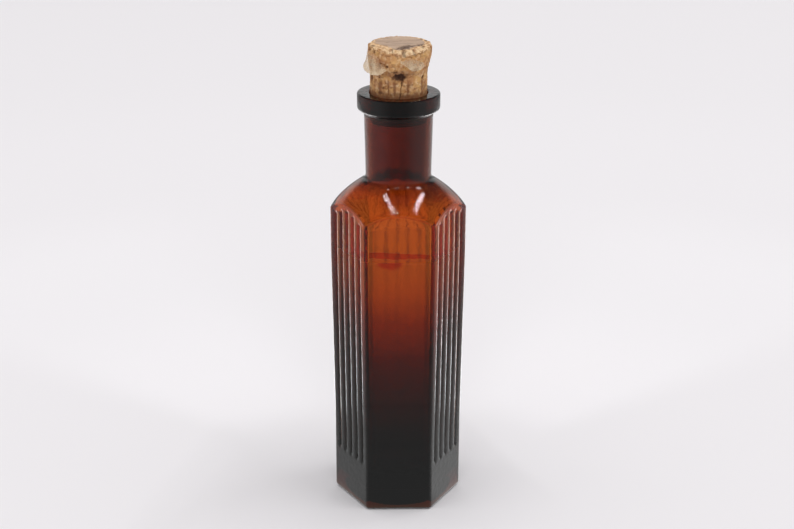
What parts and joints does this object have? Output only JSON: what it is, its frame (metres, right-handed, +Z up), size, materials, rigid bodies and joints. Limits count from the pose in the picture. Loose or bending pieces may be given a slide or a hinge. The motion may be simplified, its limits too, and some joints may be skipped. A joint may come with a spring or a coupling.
{
  "type": "glass bottle",
  "caption": "Small six-sided amber glass medicine bottle with ribbed panels, a plain front panel, a domed shoulder, a round neck with a ring lip, and a drawn natural cork.",
  "frame": {"origin": "centre of the foot, on the surface the bottle stands on", "axes": "+Z up along the neck and the cork, -Y out of the plain front panel, +X to the right seen from the front"},
  "size_m": [0.04, 0.035, 0.1401],
  "materials": {
    "amber_glass": "clear dark amber pressed glass, glossy and slightly wavy",
    "cork_bark": "dry natural cork, pitted and crumbling at the rim",
    "dried_skin": "thin dried membrane, whitish and half translucent",
    "contents": "dark brown liquid, darker where it has settled"
  },
  "bodies": {
    "glass": {"bottle": "amber_glass"},
    "stopper": {"cork": "cork_bark", "skin_left": "dried_skin", "skin_front": "dried_skin"}
  },
  "joints": [
    {"name": "cork_draw", "type": "slide", "parent": "glass", "child": "stopper", "axis": [0, 0, 1], "range_m": [-0.005, 0.03]}
  ]
}
